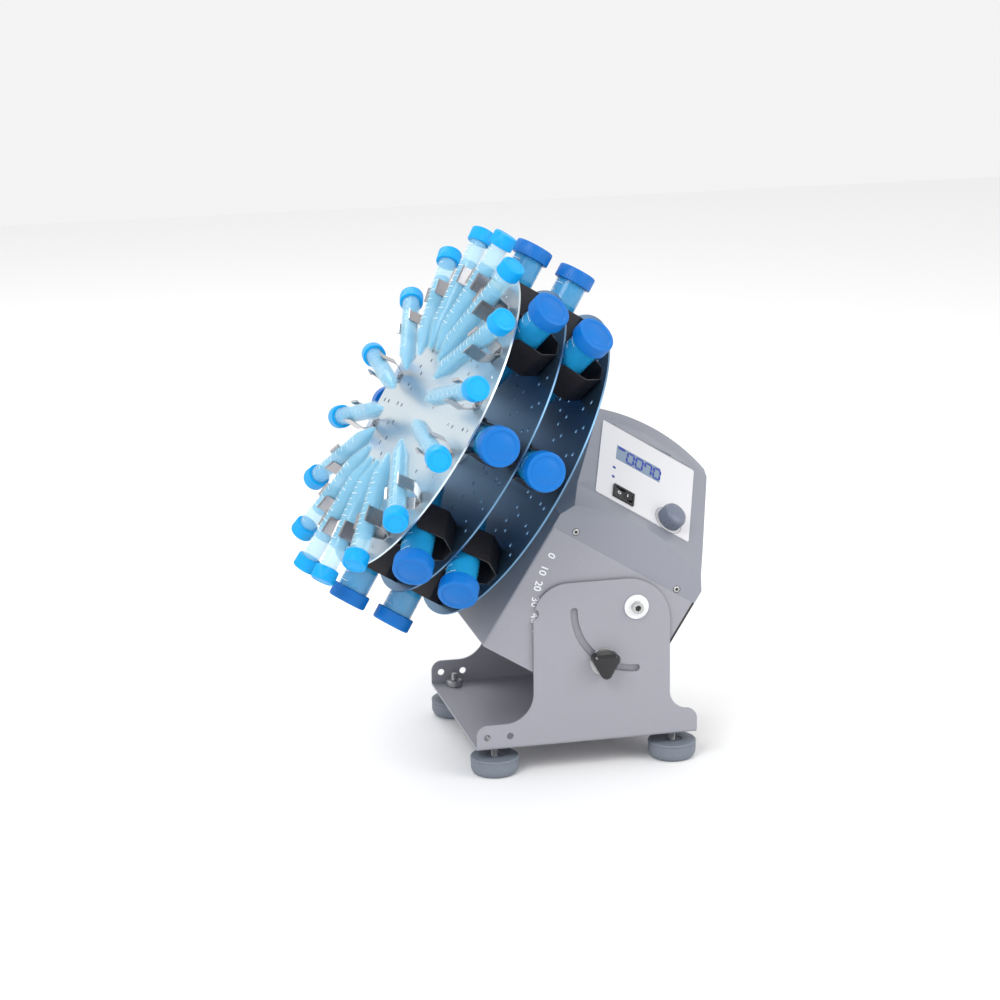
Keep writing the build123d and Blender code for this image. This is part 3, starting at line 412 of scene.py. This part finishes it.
label_film = speckled("label_film", LABEL_WHITE, 0.4, spread=0.015, grain=2200, gloss=(0.36, 0.46), bump=0.1)
display_glass = speckled("display_glass", LCD_BLUE, 0.16,
                         spread=0.03, grain=120, gloss=(0.12, 0.2), bump=0.02)
display_ink = speckled("display_ink", LCD_INK, 0.35, spread=0.1, grain=900, gloss=(0.3, 0.4), bump=0.02)
machined("panel_label", "label", "head", "label", label_film, edge=0.15)
dress(display_glass, "lcd_display")
dress(black_plastic, "indicator_leds")
ink = bmesh.new()
wide, tall = DIGIT_SIZE[0] / 2, DIGIT_SIZE[1] / 2
segments = {"a": (0, tall, False), "d": (0, -tall, False), "b": (wide, tall / 2, True),
            "c": (wide, -tall / 2, True), "e": (-wide, -tall / 2, True), "f": (-wide, tall / 2, True)}
for index, digit in enumerate(DIGITS):
    for name in SEGMENTS[digit]:
        x, y, upright = segments[name]
        reach = (tall if upright else 2 * wide) - SEGMENT_GAP
        across = x * DIGIT_SCALE + DIGIT_START + index * DIGIT_PITCH + y * DIGIT_SLANT
        bar(ink, across, y * DIGIT_SCALE, reach * DIGIT_SCALE, SEGMENT_WIDTH, upright)
(mark_x, mark_y), (mark_wide, mark_tall) = STATUS_MARK
bar(ink, mark_x, mark_y, mark_wide, mark_tall, False)
bmesh.ops.transform(ink, matrix=on_panel(*LCD_PLACE, LABEL_THICK + PRINT_THICK), verts=ink.verts)
bmesh.ops.solidify(ink, geom=ink.faces[:], thickness=PRINT_THICK * MM)
fit("display_digits", ink, "head", "display", display_ink)
window = turned(INDICATOR_DOME, sides=24)
bmesh.ops.scale(window, vec=(1, INDICATOR_FLATTEN, 1), verts=window.verts)
fit("indicator_windows", copies(window, [on_panel(x, y, LABEL_THICK) for x, y in INDICATORS]), "head",
    "gloss_black", display_ink)

# The power switch: a glossy black rocker in a black bezel, pressed at its left end,
# with the off circle and the on bar printed white on its two halves.
SWITCH_PLACE = (-21.7, -33.6)
ROCKER_PIVOT, ROCKER_REST = -1.0, 10.0
ROCKER_SLOPE = math.atan(2.2 / 8.2)
ROCKER_MARK_OUT, ROCKER_MARK_RISE, ROCKER_MARK_SIZE = 4.1, 3.3, 4.6
GLOSS_BLACK = (0.012, 0.012, 0.014)
gloss_black = speckled("gloss_black", GLOSS_BLACK, 0.14, spread=0.1, grain=400, gloss=(0.1, 0.18), bump=0.02)
machined("switch_housing", "switch_bezel", "head", "gloss_black", gloss_black, edge=0.35)
machined("power_rocker", "rocker", "rocker", "gloss_black", gloss_black, edge=0.3)
marks = []
for text, side in (("O", -1), ("I", 1)):
    angle = math.radians(ROCKER_REST) + side * ROCKER_SLOPE
    along = -axis_out * math.cos(angle) + panel_normal * math.sin(angle)
    middle = Matrix.Rotation(-math.radians(ROCKER_REST), 4, panel_up) @ (
        -axis_out * side * ROCKER_MARK_OUT * MM + panel_normal * (ROCKER_MARK_RISE + PRINT_THICK) * MM)
    origin = on_panel(*SWITCH_PLACE, ROCKER_PIVOT).translation + middle
    marks.append(lettering(text, ROCKER_MARK_SIZE, placed(origin, along, panel_up)))
fit("rocker_marks", gather(marks), "rocker", "white_plastic", white_print)

# The speed knob: a moulded grey knob with a fluted grip and a domed cap, pressed on
# the encoder's spindle, over a thin ring printed on the label.
KNOB_GREY = (0.15, 0.17, 0.225)
KNOB_PROFILE = ((3.05, 0.8), (11.3, 0.8), (11.8, 1.3), (11.8, 9.4), (11.3, 10.2), (10.9, 10.3),
                (10.9, 10.9), (10.3, 12.2), (8.6, 13.2), (5.5, 13.9), (0, 14.25))
KNOB_GRIP = (11.2, 12, 0.5, 9.8)
KNOB_FLUTES = 34
FLUTE_DEPTH = 0.6
RING_RADIUS, RING_HALF = 13.8, 0.25
PRINT_GREY = (0.16, 0.17, 0.2)
knob_plastic = speckled("knob_moulding", KNOB_GREY, 0.36,
                        spread=0.06, grain=1500, gloss=(0.3, 0.42), bump=0.12)


def fluted(shape, inner, outer, low, high, flutes, depth):
    """Push in every second run of points between two radii and two heights, for a grip."""
    for vert in shape.verts:
        radius = math.hypot(vert.co.x, vert.co.y) / MM
        if inner < radius < outer and low < vert.co.z / MM < high:
            turn = math.atan2(vert.co.y, vert.co.x) / (2 * math.pi) * flutes * 2
            if round(turn) % 2:
                vert.co.x *= 1 - depth / radius
                vert.co.y *= 1 - depth / radius
    return shape


knob = fluted(turned(KNOB_PROFILE, 2 * KNOB_FLUTES), *KNOB_GRIP, KNOB_FLUTES, FLUTE_DEPTH)
bmesh.ops.transform(knob, matrix=on_panel(*KNOB_PLACE, LABEL_THICK), verts=knob.verts)
fit("speed_knob_cap", knob, "speed_dial", "black_plastic", knob_plastic, "speed_knob")
inner, outer = RING_RADIUS - RING_HALF, RING_RADIUS + RING_HALF
ring_print = ((inner, 0), (inner, PRINT_THICK), (outer, PRINT_THICK), (outer, 0), (inner, 0))
ring = turned(ring_print, sides=72)
bmesh.ops.transform(ring, matrix=on_panel(*KNOB_PLACE, LABEL_THICK), verts=ring.verts)
grey_print = speckled("grey_print", PRINT_GREY, 0.5, spread=0.05, grain=2500, gloss=(0.45, 0.55), bump=0.05)
fit("knob_ring", ring, "head", "label", grey_print)

# The clamp knobs: glossy black three-lobed grips on studs that slide in the curved
# slots and lock the head at its angle.
machined("clamp_knob_near", "near_grip", "near_clamp", "gloss_black", gloss_black, edge=1.1)
machined("clamp_knob_far", "far_grip", "far_clamp", "gloss_black", gloss_black, edge=1.1)
dress(zinc, "clamp_stud_near", "clamp_stud_far")

# The rotor's core: a flanged hub on the drive shaft and two turned spacers that keep
# the three discs apart, held by four countersunk screws through the front disc.
HUB_SCREW = ((0, -0.3), (1.1, -0.3), (1.2, 0.1), (3.4, 0.25), (3.6, 0.1), (3.6, 0))
HUB_SCREW_RING = 17.8
HUB_SCREW_TURNS = (45, 135, 225, 315)
PLATE_THICK = 1.6
PLATE_OUT = {"rear": 0.0, "middle": 45.7, "front": 93.4}
rotor_centre = Vector(joints["rotor_spin"]["pos_m"])


def on_rotor(out, turn=0.0, radius=0.0):
    """The matrix of a place on the rotor: X outwards at an angle from the near side, Z ahead."""
    matrix = placed(rotor_centre + axis_out * out * MM, near_side, axis_up)
    return matrix @ Matrix.Rotation(math.radians(turn), 4, "Z") @ Matrix.Translation((radius * MM, 0, 0))


machined("rotor_hub", "hub", "rotor", "aluminium", alloy, edge=0.5)
machined("plate_spacers", "spacers", "rotor", "aluminium", alloy, edge=0.5)
front_face = PLATE_OUT["front"] + PLATE_THICK / 2
hub_screws = [on_rotor(front_face, turn, HUB_SCREW_RING) for turn in HUB_SCREW_TURNS]
fit("hub_screws", copies(turned(HUB_SCREW, sides=24), hub_screws), "rotor", "zinc_steel", zinc)

# The three discs: polished aluminium sheet with two rings of paired holes, so that
# clips for any tube can be screwed anywhere. The two rear discs are tinted blue-grey.
PLATE_RADIUS, PLATE_SIDES = 149.8, 192
HOLE_RADIUS, HOLE_SIDES = 1.9, 12
HOLE_RINGS = ((28, 6.9, (76.5, 90.0)), (32, 7.6, (119.7, 133.0)))
MIRROR_SILVER = (0.74, 0.84, 0.90)
MIRROR_BLUE = (0.16, 0.30, 0.46)


def circle(curve, x, y, radius, sides):
    spline = curve.splines.new("POLY")
    spline.points.add(sides - 1)
    spline.use_cyclic_u = True
    for index, point in enumerate(spline.points):
        angle = 2 * math.pi * index / sides
        point.co = ((x + radius * math.cos(angle)) * MM, (y + radius * math.sin(angle)) * MM, 0, 1)


def perforated_disc(name):
    """A disc with its rings of paired holes, as a flat filled curve given a thickness."""
    curve = bpy.data.curves.new(name, "CURVE")
    curve.dimensions = "2D"
    curve.fill_mode = "BOTH"
    curve.extrude = PLATE_THICK * MM / 2
    circle(curve, 0, 0, PLATE_RADIUS, PLATE_SIDES)
    for count, start, radii in HOLE_RINGS:
        for index in range(count):
            angle = math.radians(start + 360 * index / count)
            for radius in radii:
                circle(curve, radius * math.cos(angle), radius * math.sin(angle), HOLE_RADIUS, HOLE_SIDES)
    drawing = bpy.data.objects.new(name, curve)
    mesh = bpy.data.meshes.new_from_object(drawing)
    mesh.transform(on_rotor(PLATE_OUT[name]))
    shape = gather([mesh])
    bmesh.ops.remove_doubles(shape, verts=shape.verts, dist=WELD)
    bmesh.ops.recalc_face_normals(shape, faces=shape.faces)
    bpy.data.objects.remove(drawing)
    bpy.data.curves.remove(curve)
    return shape


silver = plated("polished_sheet", MIRROR_SILVER, 0.3)
blue_silver = plated("tinted_sheet", MIRROR_BLUE, 0.4)
fit("rear_disc", perforated_disc("rear"), "rotor", "blue_plate", blue_silver, "rear_plate")
fit("middle_disc", perforated_disc("middle"), "rotor", "blue_plate", blue_silver, "middle_plate")
fit("front_disc", perforated_disc("front"), "rotor", "mirror_plate", silver, "front_plate")

# The clips: spring steel strip folded to a box-shaped jaw that holds a tube by its
# leaning sides, black on the rear discs and bright on the front one, each screwed on.
CLIP_RADIUS = 126.0
CLIP_GRIP = 0.1
CLIP_LEAN = math.radians(5.5)
CLIP_SEAT, CLIP_DROP, CLIP_RISE, CLIP_LIP = 0.5, 1.15, 0.62, 0.2
CLIP_FOLD_STEPS = 3
CLIP_BLACK = (0.035, 0.032, 0.036)
CLIP_BRIGHT = (0.42, 0.41, 0.42)
CLIP_SCREW = ((0, 0.5), (1.0, 0.5), (1.1, 1.2), (1.9, 1.3), (2.5, 0.9), (2.6, 0))
TUBE_ANGLE = 7.6
LARGE = {"radius": 13.9, "height": 30.6, "sheet": 1.0, "strip": 32.0, "count": 8,
         "start": TUBE_ANGLE}
SMALL = {"radius": 8.3, "height": 21.7, "sheet": 0.8, "strip": 16.0, "count": 16,
         "start": TUBE_ANGLE + 11.25}


def folded_strip(tube):
    """One clip at angle zero on the disc's face: X outwards, Y across the tube, Z ahead."""
    radius, height, sheet = tube["radius"], tube["height"], tube["sheet"]
    side = (radius + CLIP_GRIP + sheet / 2) / math.cos(CLIP_LEAN)
    drop, rise = CLIP_DROP * radius, CLIP_RISE * radius
    fold = (side + drop * math.tan(CLIP_LEAN), height - drop)
    mouth = (side - rise * math.tan(CLIP_LEAN), height + rise)
    lip = (mouth[0] + CLIP_LIP * radius, mouth[1] + CLIP_LIP * radius)
    half = [(CLIP_SEAT * radius, PLATE_THICK / 2 + sheet / 2), fold, mouth, lip]
    line = [(-y, z) for y, z in reversed(half)] + half
    shape = bmesh.new()
    start = (CLIP_RADIUS - tube["strip"] / 2) * MM
    verts = [shape.verts.new((start, y * MM, z * MM)) for y, z in line]
    edges = [shape.edges.new(pair) for pair in zip(verts, verts[1:])]
    made = bmesh.ops.extrude_edge_only(shape, edges=edges)["geom"]
    far = [item for item in made if isinstance(item, bmesh.types.BMVert)]
    bmesh.ops.translate(shape, vec=(tube["strip"] * MM, 0, 0), verts=far)
    folds = [edge for edge in shape.edges if len(edge.link_faces) == 2]
    bmesh.ops.bevel(shape, geom=folds, offset=sheet * MM, segments=CLIP_FOLD_STEPS, profile=0.5,
                    affect="EDGES", material=-1)
    bmesh.ops.recalc_face_normals(shape, faces=shape.faces)
    bmesh.ops.solidify(shape, geom=shape.faces[:], thickness=sheet * MM)
    return shape


def seated(shape):
    """Set the folded strip down on the front face of its disc."""
    low = min(vert.co.z for vert in shape.verts)
    bmesh.ops.translate(shape, vec=(0, 0, PLATE_THICK / 2 * MM - low), verts=shape.verts)
    return shape


def around(tube, out, radius=0.0):
    """The places of one disc's tubes, or of a point of each, at a distance ahead."""
    return [on_rotor(out, tube["start"] + 360 * index / tube["count"], radius)
            for index in range(tube["count"])]


clip_black = speckled("black_spring_steel", CLIP_BLACK, 0.34,
                      spread=0.15, grain=160, gloss=(0.28, 0.42), bump=0.05,
                      metallic=0.35, stretch=(1, 1, 6))
clip_bright = plated("bright_spring_steel", CLIP_BRIGHT, 0.22)
for name, tube, slot, material in (("rear", LARGE, "black_steel", clip_black),
                                   ("middle", LARGE, "black_steel", clip_black),
                                   ("front", SMALL, "spring_steel", clip_bright)):
    strips = copies(seated(folded_strip(tube)), around(tube, PLATE_OUT[name]))
    fit(f"{name}_clips", strips, "rotor", slot, material, f"clips_{name}", smooth=14)
    face = PLATE_OUT[name] + PLATE_THICK / 2 + tube["sheet"]
    screws = copies(turned(CLIP_SCREW, sides=16), around(tube, face, CLIP_RADIUS))
    fit(f"{name}_clip_screws", screws, "rotor", "zinc_steel", zinc)

# The tubes: clear plastic with a tapered end, printed with white graduations, partly
# filled with blue liquid. The 50 ml ones sit on the rear discs, the 15 ml on the front.
SMALL_TUBE = {"reach": 174.1, "length": 120.0, "cone": 23.0, "tip": 2.4, "fill": 88, "marks": 15}
LARGE_TUBE = {"reach": 178.1, "length": 116.0, "cone": 15.0, "tip": 4.0, "fill": 84, "marks": 11}
CAP_LENGTH = 12.5
WALL = 1.0
LIQUID_GAP = 0.1
TUBE_SIDES, LIQUID_SIDES = 32, 28
MARK_WIDTH = 0.45
MARK_START, MARK_STOP = 4, 5
LONG_MARK, SHORT_MARK = 40, 22
MARK_STEPS = 8
CLEAR_PLASTIC = (0.50, 0.86, 0.98)
TINTED_PLASTIC = (0.02, 0.42, 0.80)
PALE_LIQUID = (0.01, 0.45, 0.82)
BLUE_LIQUID = (0.0, 0.20, 0.60)


def see_through(name, color, alpha, roughness):
    gloss = (roughness, roughness + 0.06)
    material = speckled(name, color, roughness, spread=0.03, grain=60, gloss=gloss, bump=0.02)
    shader_of(material).inputs["Alpha"].default_value = alpha
    return material


def along_x(shape, height):
    """Lay a turned shape down: its axis points outwards, at a height over the disc's middle."""
    bmesh.ops.rotate(shape, matrix=Matrix.Rotation(math.pi / 2, 3, "Y"), verts=shape.verts)
    bmesh.ops.translate(shape, vec=(0, 0, height * MM), verts=shape.verts)
    return shape


def tube_wall(start, end, cone, tip, radius):
    """An open tube with a tapered end, from the tip at the start to the rim at the end."""
    outer = [(0, start), (tip * 0.7, start + 0.2), (tip, start + 1.2), (radius, start + cone),
             (radius, end)]
    inner = [(radius - WALL, end), (radius - WALL, start + cone + WALL), (tip - 0.6, start + 2.4),
             (0, start + 1.6)]
    return turned(outer + inner, TUBE_SIDES)


def liquid(start, level, cone, tip, radius):
    """What fills a tube up to a level, clear of its wall by a small gap."""
    gap = WALL + LIQUID_GAP
    return turned([(0, start + 1.8), (tip - 0.8, start + 2.6), (radius - gap, start + cone + gap),
                   (radius - gap, level), (0, level)], LIQUID_SIDES)


def graduations(start, end, cone, radius, height, count):
    """Printed marks on the side that faces ahead, every second one long."""
    shape = bmesh.new()
    lift = radius + PRINT_THICK
    for index in range(count):
        run = end - start - cone - MARK_START - MARK_STOP
        x = start + cone + MARK_START + run * index / (count - 1)
        spread = SHORT_MARK if index % 2 else LONG_MARK
        for step in range(MARK_STEPS):
            low, high = (math.radians(spread * (2 * at / MARK_STEPS - 1)) for at in (step, step + 1))
            corners = ((x, low), (x, high), (x + MARK_WIDTH, high), (x + MARK_WIDTH, low))
            verts = [shape.verts.new((a * MM, lift * math.sin(b) * MM, lift * math.cos(b) * MM))
                     for a, b in corners]
            shape.faces.new(verts)
    bmesh.ops.remove_doubles(shape, verts=shape.verts, dist=WELD)
    bmesh.ops.translate(shape, vec=(0, 0, height * MM), verts=shape.verts)
    return shape


clear = see_through("clear_tube", CLEAR_PLASTIC, 0.25, 0.08)
pale = see_through("pale_liquid", PALE_LIQUID, 0.5, 0.1)
blue = see_through("blue_liquid", BLUE_LIQUID, 0.8, 0.1)
tinted = see_through("blue_clear_tube", TINTED_PLASTIC, 0.5, 0.1)
for name, disc, clip, tube, slot, plastic, fluid in (
        ("small", "front", SMALL, SMALL_TUBE, "clear_tube", clear, pale),
        ("rear", "rear", LARGE, LARGE_TUBE, "blue_tube", tinted, blue),
        ("middle", "middle", LARGE, LARGE_TUBE, "blue_tube", tinted, blue)):
    spots = around(clip, PLATE_OUT[disc])
    start, end = tube["reach"] - tube["length"], tube["reach"] - CAP_LENGTH
    cone, tip, radius, height = tube["cone"], tube["tip"], clip["radius"], clip["height"]
    wall = along_x(tube_wall(start, end, cone, tip, radius), height)
    fit(f"{name}_tubes", copies(wall, spots), "rotor", slot, plastic, f"tubes_{disc}")
    filling = along_x(liquid(start, start + tube["fill"], cone, tip, radius), height)
    fit(f"{name}_liquid", copies(filling, spots), "rotor", slot, fluid)
    marks = graduations(start, end, cone, radius, height, tube["marks"])
    fit(f"{name}_marks", copies(marks, spots), "rotor", "white_plastic", white_print)

# The caps: moulded blue plastic with a ribbed grip and a ring raised on the top,
# screwed on each tube, light blue on the small tubes and deep blue on the large.
LIGHT_CAP = (0.0, 0.36, 0.80)
DEEP_CAP = (0.0, 0.15, 0.52)
CAP_RIBS = 48
RIB_DEPTH = 0.35
SMALL_CAP, LARGE_CAP = 10.9, 17.3
CAP_SHINE = 0.3


def screw_cap(top, radius):
    """A cap whose top lies at a distance out, with ribs round its side and a raised ring."""
    low = top - CAP_LENGTH
    profile = [(0, low), (radius - 0.6, low), (radius, low + 0.6), (radius, top - 1.6),
               (radius - 0.5, top - 0.5), (radius - 1.4, top), (radius * 0.78, top),
               (radius * 0.75, top - 0.5), (radius * 0.6, top - 0.5), (radius * 0.57, top - 0.2),
               (0, top - 0.2)]
    shape = turned(profile, 2 * CAP_RIBS)
    return fluted(shape, radius - 0.3, radius + 0.3, low + 0.3, top - 1.0, CAP_RIBS, RIB_DEPTH)


def cap_plastic(name, color):
    material = speckled(name, color, 0.38, spread=0.04, grain=700, gloss=(0.34, 0.44), bump=0.06)
    shader_of(material).inputs["Specular IOR Level"].default_value = CAP_SHINE
    return material


light_cap = cap_plastic("light_blue_cap", LIGHT_CAP)
deep_cap = cap_plastic("deep_blue_cap", DEEP_CAP)
for name, disc, clip, tube, radius, slot, plastic in (
        ("small", "front", SMALL, SMALL_TUBE, SMALL_CAP, "light_blue_cap", light_cap),
        ("rear", "rear", LARGE, LARGE_TUBE, LARGE_CAP, "blue_cap", deep_cap),
        ("middle", "middle", LARGE, LARGE_TUBE, LARGE_CAP, "blue_cap", deep_cap)):
    cap = along_x(screw_cap(tube["reach"], radius), clip["height"])
    fit(f"{name}_caps", copies(cap, around(clip, PLATE_OUT[disc])), "rotor", slot, plastic, f"caps_{disc}")

# The place: a pale floor, a white surround and three soft lights, seen by a long lens
# from the height and side of the photograph.
CAMERA_PLACE = (-582.9, -2456.5, 899.7)
LOOK_RIGHT, LOOK_UP = (0.9727, -0.2318, -0.0117), (0.0708, 0.2483, 0.9661)
LENS, SENSOR, FARTHEST = 105.2, 36.0, 20
FLOOR_SIZE = 6.0
FLOOR_WHITE = (0.9, 0.9, 0.9)
SURROUND_WHITE, SURROUND_STRENGTH = (1, 1, 1, 1), 0.9
LIGHTS_AIM = (0, 0, 0.22)
SOFT_LIGHTS = (((-1.2, -1.4, 1.9), 1.2, 26), ((1.5, -1.2, 1.2), 1.4, 14), ((-0.3, 1.3, 1.8), 1.2, 14))
ground = bmesh.new()
bmesh.ops.create_grid(ground, x_segments=1, y_segments=1, size=FLOOR_SIZE / 2)
floor_mesh = bpy.data.meshes.new("floor")
ground.to_mesh(floor_mesh)
ground.free()
floor = bpy.data.objects.new("floor", floor_mesh)
bpy.context.scene.collection.objects.link(floor)
floor_mesh.materials.append(plain("floor_paint", FLOOR_WHITE, 0.7))
world = bpy.data.worlds.new("surround")
world.use_nodes = True
background = world.node_tree.nodes["Background"]
background.inputs["Color"].default_value = SURROUND_WHITE
background.inputs["Strength"].default_value = SURROUND_STRENGTH
bpy.context.scene.world = world
bpy.context.scene.view_settings.view_transform = "Standard"
for index, (place, size, power) in enumerate(SOFT_LIGHTS):
    light = bpy.data.lights.new(f"softbox_{index}", "AREA")
    light.energy = power
    light.shape = "DISK"
    light.size = size
    lamp = bpy.data.objects.new(light.name, light)
    lamp.location = place
    lamp.rotation_mode = "QUATERNION"
    lamp.rotation_quaternion = (Vector(LIGHTS_AIM) - Vector(place)).to_track_quat("-Z", "Y")
    bpy.context.scene.collection.objects.link(lamp)
camera_data = bpy.data.cameras.new("camera")
camera_data.lens = LENS
camera_data.sensor_width = SENSOR
camera_data.clip_end = FARTHEST
camera = bpy.data.objects.new("camera", camera_data)
bpy.context.scene.collection.objects.link(camera)
camera.matrix_world = placed(Vector(CAMERA_PLACE) * MM, Vector(LOOK_RIGHT), Vector(LOOK_UP))
bpy.context.scene.camera = camera
bpy.context.view_layer.update()
